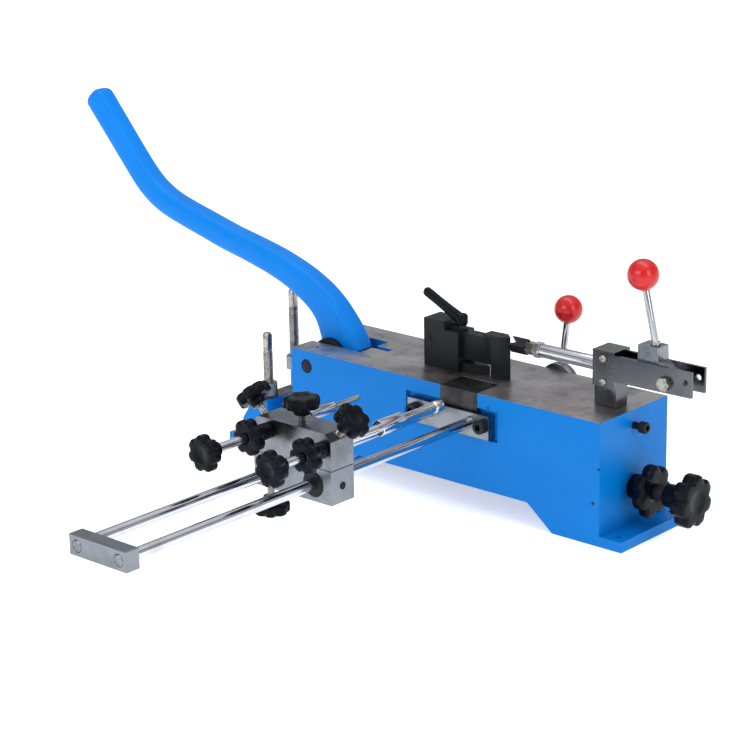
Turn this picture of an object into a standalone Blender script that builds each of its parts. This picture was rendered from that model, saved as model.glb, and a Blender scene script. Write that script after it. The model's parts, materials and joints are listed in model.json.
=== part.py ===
"""Manual bench bender: a lever-driven ram and punch, a toggle-clamped die bridge and a two-rod gauge.

All dimensions are millimetres until place() and mesh_object() turn them into metres. Stations are
measured from the table's front right top corner: x to the right, y to the back, z up.
"""

import math

import bmesh
import bpy
from mathutils import Matrix, Vector

MM = 0.001
# Where the table's front right top corner lies in the part's own frame, whose origin is the
# centre of the footprint at floor level.
TABLE_CORNER = Vector((386.65, 195.75, 142.0))
GAP = 0.3

# Body casting
BODY_LENGTH = 457.5
BODY_WIDTH = 126.0
BODY_HEIGHT = 142.0
FOOT_THICKNESS = 12.0
FOOT_REACH = 30.0
LEFT_FOOT_REACH = 110.5
ARCH_HEIGHT = 28.4
LEG_BOTTOM = 64.5
LEG_TOP = 99.6
WALL = 18.0
TABLE_THICKNESS = 30.0
MID_Y = 62.5
SLOT_FRONT = 37.0
SLOT_BACK = 89.0
SLOT_END = -380.0
RECESS_DEPTH = 6.0
BED_LEFT = -224.5
BED_RIGHT = -170.5
BED_HEIGHT = 22.0
FOOT_HOLE_RADIUS = 3.75
FOOT_HOLES = ((16.8, 13.0), (16.8, 113.0), (-555.0, 13.0), (-555.0, 113.0))

# Main lever
PIVOT = (-433.0, -19.0)
PIN_RADIUS = 8.3
LEVER_WIDTH = 33.0
HUB_RADIUS = 24.0
WASHER_RADIUS = 25.0
NOSE_OFFSET = (6.0, -34.0)
NOSE_RADIUS = 10.0
NECK_HALF_WIDTH = 6.5
# Centreline of the lever: x, z, depth in the plane of swing, width across it.
LEVER_STATIONS = (
    (-421, -15, 60, 33), (-427, 0, 59, 33), (-435, 16, 51, 33), (-447, 33.5, 43, 33),
    (-463, 48, 38.5, 33), (-487, 62, 36, 33), (-512, 72.5, 34, 33), (-540, 81.5, 33, 33),
    (-577, 90.5, 32, 33), (-614, 98.5, 31.5, 33), (-652, 108.5, 31, 33), (-690, 118.5, 30.5, 33),
    (-718, 127, 30.5, 33), (-741, 138, 30.5, 33), (-761, 153, 29.5, 33), (-785, 178.5, 28.5, 33),
    (-814, 211.5, 29, 33), (-845, 247, 30, 33),
)

# Ram and punch
RAM_LEFT = -416.7
RAM_RIGHT = -215.0
RAM_HALF_WIDTH = 12.0
RAM_TOP = -47.5
RAM_BOTTOM = -65.0
RAM_MID_Z = (RAM_TOP + RAM_BOTTOM) / 2
# The return spring's left seat: the ram slides 23.5 mm to the left from here, under the lever's hub.
SPRING_LEFT = -378.0

# Dies
CLAMP_AXIS = (-244.0, 62.5)
ROD_Z = 43.4
ROD_RADIUS = 8.0
LEG_TIP = -172.3
LEG_SHOULDER = -182.0
LEG_HALF_WIDTH = 8.5
HEAD_SIDE = 13.0
HEAD_TILT = 33.0

# Toggle clamp
PLATE_FRONT = 48.2
PLATE_THICKNESS = 3.6
PLATE_BACK = 76.8
TOGGLE_HALF_WIDTH = 10.3
TOGGLE_PIVOT = (49.7, 43.0)
TOGGLE_FACE = 10.7
TOGGLE_STEM = (27.0, 79.8)
TOGGLE_BALL = (9.0, 153.9)
SCREW_X = -32.4
SCREW_HEIGHTS = {"upper": 55.4, "lower": 28.2}

# Spindle and rear lock
SPINDLE_Z = -88.6
SPINDLE_RADIUS = 8.0
LOCK_CENTRE = (-155.0, -18.0)
LOCK_BALL = (-143.4, 72.9)
LOCK_Y = 132.4

# Gauge
GAUGE_ROD_X = {"left": -235.7, "right": -175.7}
GAUGE_ROD_Z = -33.3
GAUGE_ROD_RADIUS = 6.3
GAUGE_END_Y = -540.0
BAR_THICKNESS = 18.0
CARRIAGE_X = (-262.0, -149.4)
CARRIAGE_Y = (-264.6, -229.6)
CARRIAGE_Z = (-52.6, 25.6)
CARRIAGE_SPLIT = -14.5
CARRIAGE_MID_Y = -247.0
CHAMFER = 8.0
BUSH_RADIUS = 14.0
STOP_ROD_RADIUS = 5.0
STOP_RODS = {"left": (-239.4, 12.4), "right": (-160.5, 7.9)}

# Stop studs
STUD_X = -513.5
STUD_RADIUS = 6.0
STUDS = {"front": (17.0, 4.7, -75.2), "rear": (64.0, 49.2, -52.0)}


# --- tools -----------------------------------------------------------------------------------


def clear_scene():
    for obj in list(bpy.data.objects):
        bpy.data.objects.remove(obj, do_unlink=True)


def material(name, colour, roughness, metallic):
    made = bpy.data.materials.get(name) or bpy.data.materials.new(name)
    made.use_nodes = True
    shader = made.node_tree.nodes["Principled BSDF"]
    shader.inputs["Base Color"].default_value = (*colour, 1.0)
    shader.inputs["Roughness"].default_value = roughness
    shader.inputs["Metallic"].default_value = metallic
    made.diffuse_color = (*colour, 1.0)
    return made


def blue_paint():
    return material("blue_paint", (0.01, 0.21, 0.60), 0.32, 0.0)


def lever_paint():
    return material("lever_paint", (0.01, 0.26, 0.80), 0.38, 0.0)


def ground_steel():
    return material("ground_steel", (0.45, 0.45, 0.46), 0.32, 1.0)


def chrome():
    return material("chrome", (0.72, 0.73, 0.75), 0.12, 1.0)


def black_oxide():
    return material("black_oxide", (0.03, 0.03, 0.035), 0.42, 0.6)


def black_plastic():
    return material("black_plastic", (0.02, 0.022, 0.028), 0.45, 0.0)


def red_plastic():
    return material("red_plastic", (0.72, 0.01, 0.02), 0.3, 0.0)


def spring_steel():
    return material("spring_steel", (0.30, 0.30, 0.32), 0.35, 1.0)


def bronze():
    return material("dark_bronze", (0.10, 0.085, 0.07), 0.4, 0.8)


def place(obj, x, y, z):
    """Moves an object's own origin to a station."""
    obj.location = (TABLE_CORNER + Vector((x, y, z))) * MM
    return obj


def mesh_object(name, mesh_work, finish, smooth=True):
    """Makes an object from a bmesh built in millimetres about the object's own origin."""
    bmesh.ops.scale(mesh_work, vec=(MM, MM, MM), verts=mesh_work.verts)
    bmesh.ops.recalc_face_normals(mesh_work, faces=mesh_work.faces)
    mesh = bpy.data.meshes.new(name)
    mesh_work.to_mesh(mesh)
    mesh_work.free()
    if smooth:
        mesh.shade_smooth()
        mesh.set_sharp_from_angle(angle=math.radians(35))
    obj = bpy.data.objects.new(name, mesh)
    bpy.context.collection.objects.link(obj)
    if finish:
        mesh.materials.append(finish)
    return obj


def aim(obj, direction):
    """Turns an object so that its own z axis points along the direction."""
    obj.rotation_mode = "QUATERNION"
    obj.rotation_quaternion = Vector(direction).to_track_quat("Z", "Y")
    return obj


def prism_mesh(outline, low, high, axis="y"):
    """A flat outline pulled straight from low to high along an axis.

    The outline's pairs are (x, z) for axis y, (y, z) for axis x and (x, y) for axis z.
    """
    order = {"x": lambda a, b, t: (t, a, b), "y": lambda a, b, t: (a, t, b), "z": lambda a, b, t: (a, b, t)}[axis]
    work = bmesh.new()
    rings = [[work.verts.new(order(a, b, t)) for a, b in outline] for t in (low, high)]
    join_rings(work, rings, closed=False)
    return work


def box_mesh(low, high):
    x0, y0, z0 = low
    x1, y1, z1 = high
    return prism_mesh([(x0, y0), (x1, y0), (x1, y1), (x0, y1)], z0, z1, "z")


def join_rings(work, rings, closed):
    """Skins a row of equal rings; a closed row meets itself, an open one gets flat ends."""
    count = len(rings[0])
    pairs = list(zip(rings, rings[1:]))
    if closed:
        pairs.append((rings[-1], rings[0]))
    for first, second in pairs:
        for i in range(count):
            j = (i + 1) % count
            work.faces.new((first[i], first[j], second[j], second[i]))
    if not closed:
        work.faces.new(rings[0])
        work.faces.new(rings[-1])


def turned_mesh(profile, segments=24, closed=False, radius_at=None):
    """Turns a profile of (radius, height) pairs about z; a radius of 0 makes a pole.

    radius_at(radius, angle) reshapes a ring, for a fluted knob.
    """
    work = bmesh.new()
    rings = []
    poles = {}
    for index, (radius, height) in enumerate(profile):
        if radius == 0:
            poles[index] = work.verts.new((0, 0, height))
            continue
        ring = []
        for step in range(segments):
            angle = 2 * math.pi * step / segments
            shaped = radius_at(radius, angle) if radius_at else radius
            ring.append(work.verts.new((shaped * math.cos(angle), shaped * math.sin(angle), height)))
        rings.append(ring)
    if not poles:
        join_rings(work, rings, closed)
        return work
    for first, second in zip(rings, rings[1:]):
        for i in range(segments):
            j = (i + 1) % segments
            work.faces.new((first[i], first[j], second[j], second[i]))
    for index, ring in ((0, rings[0]), (len(profile) - 1, rings[-1])):
        if index not in poles:
            work.faces.new(ring)
            continue
        for i in range(segments):
            work.faces.new((ring[i], ring[(i + 1) % segments], poles[index]))
    return work


def cylinder_profile(radius, low, high, chamfer=0.0):
    if not chamfer:
        return [(radius, low), (radius, high)]
    return [(radius - chamfer, low), (radius, low + chamfer), (radius, high - chamfer), (radius - chamfer, high)]


def add_boolean(target, other, operation):
    modifier = target.modifiers.new(f"{operation.lower()}_{len(target.modifiers)}", "BOOLEAN")
    modifier.operation = operation
    modifier.object = other
    modifier.solver = "EXACT"
    other.hide_render = True
    other.display_type = "WIRE"


def cut_box(target, low, high):
    """Cuts a box, given as stations, out of an object."""
    middle = [(a + b) / 2 for a, b in zip(low, high)]
    half = [(b - a) / 2 for a, b in zip(low, high)]
    tool = mesh_object(f"{target.name}_cut", box_mesh([-h for h in half], half), None, smooth=False)
    place(tool, *middle)
    add_boolean(target, tool, "DIFFERENCE")


def cut_bore(target, start, direction, radius, length, segments=24):
    """Drills a hole into an object from a station, along a direction."""
    tool = mesh_object(f"{target.name}_bore", turned_mesh([(radius, 0), (radius, length)], segments), None)
    aim(place(tool, *start), direction)
    add_boolean(target, tool, "DIFFERENCE")


def merge(target, work, at):
    """Joins another solid, built about a station, to an object."""
    tool = mesh_object(f"{target.name}_add", work, None)
    place(tool, *at)
    add_boolean(target, tool, "UNION")
    return tool


def circle_points(radius, segments, centre=(0.0, 0.0), start=0.0, sweep=2 * math.pi):
    steps = segments if sweep == 2 * math.pi else segments + 1
    angles = [start + sweep * i / segments for i in range(steps)]
    return [(centre[0] + radius * math.cos(a), centre[1] + radius * math.sin(a)) for a in angles]


def smooth_path(points, per_span):
    """Points on a curve that passes through every given point (Catmull-Rom)."""
    padded = [[2 * a - b for a, b in zip(points[0], points[1])], *points]
    padded.append([2 * a - b for a, b in zip(points[-1], points[-2])])
    path = []
    for before, first, second, after in zip(padded, padded[1:], padded[2:], padded[3:]):
        for step in range(per_span):
            t = step / per_span
            path.append([
                0.5 * (2 * q + (r - p) * t + (2 * p - 5 * q + 4 * r - s) * t * t + (3 * q - p - 3 * r + s) * t ** 3)
                for p, q, r, s in zip(before, first, second, after)
            ])
    path.append(list(points[-1]))
    return path


def hex_nut(name, corner_radius, thickness, bore, station, direction):
    """A nut whose seat is at the station; it stands along the direction."""
    edge = corner_radius * 0.88
    profile = [(edge, 0), (corner_radius, 1.0), (corner_radius, thickness - 1.0), (edge, thickness)]
    nut = mesh_object(name, turned_mesh(profile, 6), chrome(), smooth=False)
    aim(place(nut, *station), direction)
    start = Vector(station) - Vector(direction)
    cut_bore(nut, tuple(start), direction, bore, thickness + 2, 20)
    return nut


# --- body ------------------------------------------------------------------------------------


def body_outline():
    floor = -BODY_HEIGHT
    foot_top = floor + FOOT_THICKNESS
    arch = floor + ARCH_HEIGHT
    left_end = -BODY_LENGTH - LEFT_FOOT_REACH
    left_leg = -BODY_LENGTH + LEG_BOTTOM
    return [
        (0, 0), (0, foot_top), (FOOT_REACH, foot_top), (FOOT_REACH, floor), (-LEG_BOTTOM, floor),
        (-LEG_TOP, arch), (left_leg + LEG_TOP - LEG_BOTTOM, arch), (left_leg, floor), (left_end, floor),
        (left_end, foot_top), (-543, foot_top), (-543, -106), (-522.5, -75.5), (-500.5, -75.5),
        (-500.5, foot_top), (-BODY_LENGTH, foot_top), (-BODY_LENGTH, 0),
    ]


def make_body():
    body = mesh_object("body_casting", prism_mesh(body_outline(), 0, BODY_WIDTH), blue_paint(), smooth=False)
    place(body, 0, 0, 0)
    floor = -BODY_HEIGHT
    cut_box(body, (SLOT_END - 2, WALL, floor - 1), (-20, BODY_WIDTH - WALL, -TABLE_THICKNESS))
    cut_box(body, (-BODY_LENGTH - 1, SLOT_FRONT, -95), (SLOT_END, SLOT_BACK, 1))
    cut_box(body, (SLOT_END - 1, 59, -TABLE_THICKNESS - 1), (-355, 68, 1))
    cut_box(body, (-289, 55.5, -TABLE_THICKNESS - 1), (-238, 70.5, 1))
    cut_box(body, (-276, -1, -53), (-141.5, RECESS_DEPTH, -17))
    cut_box(body, (BED_LEFT, -1, -BED_HEIGHT), (BED_RIGHT, 40, 1))
    cut_bore(body, (PIVOT[0], -1, PIVOT[1]), (0, 1, 0), PIN_RADIUS + GAP, BODY_WIDTH + 2)
    for y in (20, 106):
        cut_bore(body, (PIVOT[0], y, 1), (0, 0, -1), 2.5, 8, 12)
    cut_bore(body, (1, MID_Y, SPINDLE_Z), (-1, 0, 0), SPINDLE_RADIUS + GAP, 24)
    cut_bore(body, (1, MID_Y, -18), (-1, 0, 0), 4.3, 16, 16)
    cut_bore(body, (LOCK_CENTRE[0], BODY_WIDTH + 1, LOCK_CENTRE[1]), (0, -1, 0), 6.3, 14, 16)
    for x, y in FOOT_HOLES:
        cut_bore(body, (x, y, floor - 1), (0, 0, 1), FOOT_HOLE_RADIUS, FOOT_THICKNESS + 2, 12)
    for y, _, _ in STUDS.values():
        cut_bore(body, (STUD_X, y, -75), (0, 0, -1), STUD_RADIUS + GAP, 45, 16)


def make_die_bed():
    low = (BED_LEFT + GAP, 0, -BED_HEIGHT + GAP)
    high = (BED_RIGHT - GAP, 40 - GAP, 0)
    place(mesh_object("die_bed_insert", box_mesh(low, high), black_oxide(), smooth=False), 0, 0, 0)


# --- lever and ram ---------------------------------------------------------------------------


def lever_section(depth, width):
    """A rounded-rectangle ring in the plane of the lever's own depth and width."""
    radius = 0.24 * min(depth, width)
    ring = []
    for quarter, (side, up) in enumerate(((1, 1), (-1, 1), (-1, -1), (1, -1))):
        corner = (side * (depth / 2 - radius), up * (width / 2 - radius))
        ring += circle_points(radius, 3, corner, quarter * math.pi / 2, math.pi / 2)
    return ring


def lever_blade_mesh():
    path = smooth_path(LEVER_STATIONS, 2)
    rounding = ((4.5, 0.94), (8, 0.80), (10.6, 0.58), (11.8, 0.30))
    tail_x, tail_z, tail_depth, tail_width = path[-1]
    run = Vector((path[-1][0] - path[-2][0], path[-1][1] - path[-2][1])).normalized()
    for reach, share in rounding:
        path.append([tail_x + run.x * reach, tail_z + run.y * reach, tail_depth * share, tail_width * share])
    work = bmesh.new()
    rings = []
    for index, (x, z, depth, width) in enumerate(path):
        before = path[max(index - 1, 0)]
        after = path[min(index + 1, len(path) - 1)]
        tangent = Vector((after[0] - before[0], after[1] - before[1])).normalized()
        across = Vector((-tangent.y, tangent.x))
        centre = Vector((x - PIVOT[0], z - PIVOT[1]))
        ring = []
        for a, b in lever_section(depth, width):
            spot = centre + across * a
            ring.append(work.verts.new((spot.x, b, spot.y)))
        rings.append(ring)
    join_rings(work, rings, closed=False)
    return work


def make_lever():
    station = (PIVOT[0], MID_Y, PIVOT[1])
    half = LEVER_WIDTH / 2
    lever = mesh_object("main_lever", lever_blade_mesh(), lever_paint())
    place(lever, *station)
    merge(lever, prism_mesh(circle_points(HUB_RADIUS, 28), -half, half), station)
    neck = math.atan2(NOSE_OFFSET[1], NOSE_OFFSET[0])
    outline = circle_points(NECK_HALF_WIDTH, 2, NOSE_OFFSET, neck - math.pi / 2, math.pi)
    outline += circle_points(NECK_HALF_WIDTH, 2, (0, 0), neck + math.pi / 2, math.pi)
    merge(lever, prism_mesh(outline, -half + 1.5, half - 1.5), station)
    merge(lever, prism_mesh(circle_points(NOSE_RADIUS, 20, NOSE_OFFSET), -half + 1, half - 1), station)
    cut_bore(lever, (PIVOT[0], MID_Y - half - 1, PIVOT[1]), (0, 1, 0), PIN_RADIUS + GAP, LEVER_WIDTH + 2)
    for name, y in (("front", SLOT_FRONT + 1), ("rear", MID_Y + half + GAP)):
        profile = [(PIN_RADIUS + GAP, 0), (WASHER_RADIUS, 0), (WASHER_RADIUS, 7.7), (PIN_RADIUS + GAP, 7.7)]
        washer = mesh_object(f"pivot_washer_{name}", turned_mesh(profile, 28, closed=True), black_oxide())
        aim(place(washer, PIVOT[0], y, PIVOT[1]), (0, 1, 0))
    profile = cylinder_profile(PIN_RADIUS, 0.4, BODY_WIDTH - 0.4, 1.0)
    pin = mesh_object("lever_pivot_pin", turned_mesh(profile, 24), black_oxide())
    aim(place(pin, PIVOT[0], 0, PIVOT[1]), (0, 1, 0))


def make_ram():
    half = RAM_HALF_WIDTH
    outline = [
        (RAM_LEFT, RAM_BOTTOM), (RAM_RIGHT, RAM_BOTTOM), (RAM_RIGHT, RAM_TOP), (-241, RAM_TOP), (-241, 0),
        (-262, 0), (-262, RAM_TOP), (RAM_LEFT, RAM_TOP),
    ]
    ram = mesh_object("ram_slide", prism_mesh(outline, MID_Y - half, MID_Y + half), ground_steel(), smooth=False)
    place(ram, 0, 0, 0)
    for low, high in ((MID_Y - half - 1, MID_Y - 6), (MID_Y + 6, MID_Y + half + 1)):
        cut_box(ram, (-263, low, RAM_TOP), (-240, high, 1))
    flange = circle_points(22, 20)
    merge(ram, prism_mesh(flange, 0, 5, "x"), (SPRING_LEFT - 5, MID_Y, RAM_MID_Z))
    opening = (MID_Y - half - 0.5, MID_Y + half + 0.5, RAM_BOTTOM - 0.5, RAM_TOP + 0.5)
    guide = mesh_object("ram_guide", box_mesh((-340, 40, -76), (-300, 86, -TABLE_THICKNESS - GAP)), ground_steel(), False)
    place(guide, 0, 0, 0)
    cut_box(guide, (-341, opening[0], opening[2]), (-299, opening[1], opening[3]))


def make_spring():
    turns, steps, sides = 7, 12, 6
    start, end, radius, wire = SPRING_LEFT + 2.5, -342.5, 18.9, 1.5
    work = bmesh.new()
    rings = []
    for step in range(turns * steps + 1):
        share = step / (turns * steps)
        angle = 2 * math.pi * turns * share
        out = Vector((0, math.cos(angle), math.sin(angle)))
        centre = Vector((start + (end - start) * share, 0, 0)) + out * radius
        ring = []
        for side in range(sides):
            around = 2 * math.pi * side / sides
            spot = centre + out * wire * math.cos(around) + Vector((wire * math.sin(around), 0, 0))
            ring.append(work.verts.new(spot))
        rings.append(ring)
    join_rings(work, rings, closed=False)
    place(mesh_object("ram_return_spring", work, spring_steel()), 0, MID_Y, RAM_MID_Z)


def make_punch():
    outline = [(-264, 53), (-226, 53), (-203, 62.4), (-203, 63.6), (-226, 73), (-264, 73)]
    punch = mesh_object("punch_wedge", prism_mesh(outline, GAP, 10.3, "z"), black_oxide(), smooth=False)
    place(punch, 0, 0, 0)


# --- dies and toggle clamp -------------------------------------------------------------------


def make_die_block():
    outline = [(-288.5, GAP), (-237.5, GAP), (-237.5, 46.6), (-258, 46.6), (-258, 57), (-288.5, 57)]
    block = mesh_object("die_clamp_block", prism_mesh(outline, 47.5, 77.5), black_oxide(), smooth=False)
    place(block, 0, 0, 0)
    merge(block, box_mesh((-262, 57, 46.7), (-238.5, 68, 50.2)), (0, 0, 0))
    cut_box(block, (-289.5, 52, 0), (-236.5, 73, 10.8))
    cut_box(block, (-270.5, 54.7, 14.7), (-236.5, 70.3, 46.7))
    cut_bore(block, (*CLAMP_AXIS, 51), (0, 0, -1), 3.3, 8, 16)


def make_die_bridge():
    left, front, back = -194.3, MID_Y - LEG_HALF_WIDTH, MID_Y + LEG_HALF_WIDTH
    bar = box_mesh((-270, 55, 15), (-190, 70, 46.4))
    bridge = mesh_object("die_bridge", bar, black_oxide(), smooth=False)
    place(bridge, 0, 0, 0)
    plan = [(left, front), (LEG_SHOULDER, front), (LEG_TIP, MID_Y), (LEG_SHOULDER, back), (left, back)]
    merge(bridge, prism_mesh(plan, GAP, 50.5, "z"), (0, 0, 0))
    merge(bridge, box_mesh((-206.3, front + 0.2, 46.2), (-188, back - 0.2, 50.3)), (0, 0, 0))


def make_clamp_lever():
    stem = mesh_object("die_clamp_screw", turned_mesh(cylinder_profile(3.0, 46.8, 51.6, 0.3), 16), chrome())
    place(stem, *CLAMP_AXIS, 0)
    profile = [(0, 51.9), (6.0, 51.9), (7.2, 53.5), (7.4, 63), (6.2, 65.2), (0, 66.4)]
    handle = mesh_object("die_clamp_lever", turned_mesh(profile, 20), black_plastic())
    place(handle, *CLAMP_AXIS, 0)
    work = bmesh.new()
    rings = []
    corners = (
        (-0.5, -0.28), (-0.28, -0.5), (0.28, -0.5), (0.5, -0.28),
        (0.5, 0.28), (0.28, 0.5), (-0.28, 0.5), (-0.5, 0.28),
    )
    for reach, rise, width, depth in ((-3.5, 59.5, 11, 12), (-18, 66.5, 9.5, 11), (-50, 82.5, 9, 9.5), (-54, 84.5, 8, 8)):
        ring = []
        for across, up in corners:
            ring.append(work.verts.new((reach + 0.42 * up * depth, across * width, rise + 0.9 * up * depth)))
        rings.append(ring)
    join_rings(work, rings, closed=False)
    merge(handle, work, (*CLAMP_AXIS, 0))


def make_v_head():
    half = HEAD_SIDE / 2
    plan = [(23.5, half), (0, half), (0, 5.4), (11.0, 0.4), (11.0, -0.4), (0, -5.4), (0, -half), (23.5, -half)]
    station = (LEG_TIP + 2.5, MID_Y, ROD_Z)
    head = mesh_object("v_head", prism_mesh(plan, -half, half, "z"), black_oxide(), smooth=False)
    place(head, *station)
    head.rotation_euler = (math.radians(HEAD_TILT), 0, 0)
    neck = turned_mesh([(5.0, 0), (5.0, 55)], 20)
    for work in (neck, turned_mesh([(7.0, 0), (7.0, 10)], 6)):
        aim(merge(head, work, (station[0] + 23, MID_Y, ROD_Z)), (1, 0, 0))


def make_push_rod():
    make_v_head()
    hex_nut("adjuster_locknut", 9.6, 8.6, 5.3, (-135.5, MID_Y, ROD_Z), (1, 0, 0))
    start = -126.6
    face = TOGGLE_FACE - 0.7 - start
    profile = [
        (0, 40.0), (5.4, 40.0), (5.4, 0), (ROD_RADIUS, 0), (ROD_RADIUS, face - 9), (4.0, face - 9), (4.0, face),
        (0, face),
    ]
    rod = mesh_object("push_rod", turned_mesh(profile, 24), chrome())
    aim(place(rod, start, MID_Y, ROD_Z), (1, 0, 0))


def make_guide_block():
    inner, outer = TOGGLE_HALF_WIDTH, 15.0
    plan = [(-inner, GAP), (inner, GAP), (inner, 61.6), (outer, 61.6), (outer, 64.6)]
    plan += [(-outer, 64.6), (-outer, 61.6), (-inner, 61.6)]
    outline = [(MID_Y + y, z) for y, z in plan]
    block = mesh_object("guide_block", prism_mesh(outline, -46.3, -17, "x"), ground_steel(), smooth=False)
    place(block, 0, 0, 0)
    cut_bore(block, (-48, MID_Y, ROD_Z), (1, 0, 0), ROD_RADIUS + GAP, 33)
    for height in SCREW_HEIGHTS.values():
        cut_bore(block, (SCREW_X, 43, height), (0, 1, 0), 2.8, 40, 12)


def make_side_plates():
    outline = [(-46.5, 23.2), (-16.5, 23.2), (-16.5, 31.5), (83.5, 32.6), (83.5, 61.2), (-46.5, 61.2)]
    for name, low in (("front", PLATE_FRONT), ("rear", PLATE_BACK - PLATE_THICKNESS)):
        work = prism_mesh(outline, low, low + PLATE_THICKNESS)
        plate = mesh_object(f"side_plate_{name}", work, ground_steel(), smooth=False)
        place(plate, 0, 0, 0)
        holes = [(TOGGLE_PIVOT[0], TOGGLE_PIVOT[1], 4.3), (75.4, 48.8, 3.5)]
        holes += [(SCREW_X, height, 2.8) for height in SCREW_HEIGHTS.values()]
        for x, z, radius in holes:
            cut_bore(plate, (x, low - 1, z), (0, 1, 0), radius, PLATE_THICKNESS + 2, 16)
    for name, height in SCREW_HEIGHTS.items():
        profile = [(3.4, 0), (4.6, 1.2), (4.6, 2.9), (2.5, 2.9), (2.5, 32.0)]
        screw = mesh_object(f"side_plate_screw_{name}", turned_mesh(profile, 16), chrome())
        aim(place(screw, SCREW_X, PLATE_FRONT - GAP - 2.9, height), (0, 1, 0))
    head = [(7.0, -6.0), (8.3, -5.0), (8.3, -0.3)]
    bolt = mesh_object("toggle_pivot_bolt", turned_mesh(head, 6), chrome(), smooth=False)
    aim(place(bolt, TOGGLE_PIVOT[0], PLATE_FRONT, TOGGLE_PIVOT[1]), (0, 1, 0))
    shank = merge(bolt, turned_mesh([(4.0, -1.0), (4.0, 36.0)], 16), (TOGGLE_PIVOT[0], PLATE_FRONT, TOGGLE_PIVOT[1]))
    aim(shank, (0, 1, 0))
    seat = (TOGGLE_PIVOT[0], PLATE_BACK + GAP, TOGGLE_PIVOT[1])
    hex_nut("toggle_pivot_nut", 8.3, 6.0, 4.3, seat, (0, 1, 0))


def stem_frame(start, end):
    """Unit direction and length from one (x, z) station to another."""
    run = Vector((end[0] - start[0], 0, end[1] - start[1]))
    return run.normalized(), run.length


def ball_mesh(radius, bore, depth):
    """A ball about its centre, with a blind bore from below."""
    rim = math.asin(bore / radius)
    steps = 12
    arc = [(radius * math.sin(a), radius * math.cos(a)) for a in (math.pi * i / steps for i in range(1, steps))]
    arc = [point for point in arc if math.atan2(point[0], -point[1]) > rim + 0.05]
    mouth = (bore, -radius * math.cos(rim))
    return turned_mesh([(0, radius), *arc, mouth, (bore, -radius + depth), (0, -radius + depth)], 24)


def make_toggle():
    left = TOGGLE_FACE - TOGGLE_PIVOT[0]
    outline = [
        (left, 0), (left, 36), (-13, 36), (-12.5, 20), (-2, 14), (6, 10), (9.8, 3), (9.8, -5), (6, -9.4),
        (-4, -10.2), (left + 10, -10.2),
    ]
    station = (TOGGLE_PIVOT[0], MID_Y, TOGGLE_PIVOT[1])
    block = mesh_object("toggle_block", prism_mesh(outline, -TOGGLE_HALF_WIDTH, TOGGLE_HALF_WIDTH), ground_steel(), smooth=False)
    place(block, *station)
    cut_bore(block, (TOGGLE_PIVOT[0], MID_Y - 15, TOGGLE_PIVOT[1]), (0, 1, 0), 4.3, 30, 16)
    direction, length = stem_frame(TOGGLE_STEM, TOGGLE_BALL)
    root = Vector((TOGGLE_STEM[0], MID_Y, TOGGLE_STEM[1]))
    cut_bore(block, tuple(root + direction * 6), -direction, 4.3, 21, 16)
    rod = mesh_object("toggle_rod", turned_mesh(cylinder_profile(4.0, -14, length - 8, 0.6), 16), chrome())
    aim(place(rod, *root), direction)
    ball = mesh_object("toggle_ball", ball_mesh(17.5, 4.4, 12), red_plastic())
    aim(place(ball, TOGGLE_BALL[0], MID_Y, TOGGLE_BALL[1]), direction)


# --- spindle, end screw and rear lock --------------------------------------------------------


def fluted(radius_out, lobes=7):
    """Rings at full radius get rounded lobes; smaller rings stay round."""
    def shape(radius, angle):
        if radius < 0.72 * radius_out:
            return radius
        return radius * (1 - 0.13 * (0.5 - 0.5 * math.cos(lobes * angle)) ** 0.8)
    return shape


def knob_mesh(radius, hub_radius, hub, disc, bore=None):
    """A seven-lobed star knob: hub length first, then the fluted disc, along z from 0."""
    top = hub + disc
    profile = [
        (hub_radius * 0.94, 0), (hub_radius, 0.8), (hub_radius, hub), (radius * 0.93, hub),
        (radius, hub + 1.4), (radius, top - 1.8), (radius * 0.92, top),
    ]
    if bore:
        profile = [(bore, 0), *profile, (bore, top)]
    return turned_mesh(profile, 28, closed=bool(bore), radius_at=fluted(radius))


def make_spindle():
    profile = cylinder_profile(SPINDLE_RADIUS, -58, 45.6, 1.0)
    spindle = mesh_object("stop_spindle", turned_mesh(profile, 24), black_oxide())
    aim(place(spindle, 0, MID_Y, SPINDLE_Z), (1, 0, 0))
    jam = mesh_object("spindle_jam_knob", knob_mesh(30, 14, 17.4, 14, SPINDLE_RADIUS + GAP), black_plastic())
    aim(place(jam, 0.6, MID_Y, SPINDLE_Z), (1, 0, 0))
    end = mesh_object("spindle_end_knob", knob_mesh(30, 13, 22, 18), black_plastic())
    aim(place(end, 46, MID_Y, SPINDLE_Z), (1, 0, 0))


def cap_screw_mesh(shank_radius, shank, head_radius, head, socket):
    """A socket cap screw whose head's seat is at z 0 and whose socket opens at the top."""
    profile = [
        (0, -shank), (shank_radius, -shank), (shank_radius, 0), (head_radius, 0), (head_radius, head - 0.8),
        (head_radius - 0.8, head), (socket, head), (socket, head * 0.45), (0, head * 0.45),
    ]
    return turned_mesh(profile, 18)


def make_end_screw():
    screw = mesh_object("end_cap_screw", cap_screw_mesh(4.0, 23, 6.6, 9, 3.4), black_oxide())
    aim(place(screw, 9, MID_Y, -18), (1, 0, 0))


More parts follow.
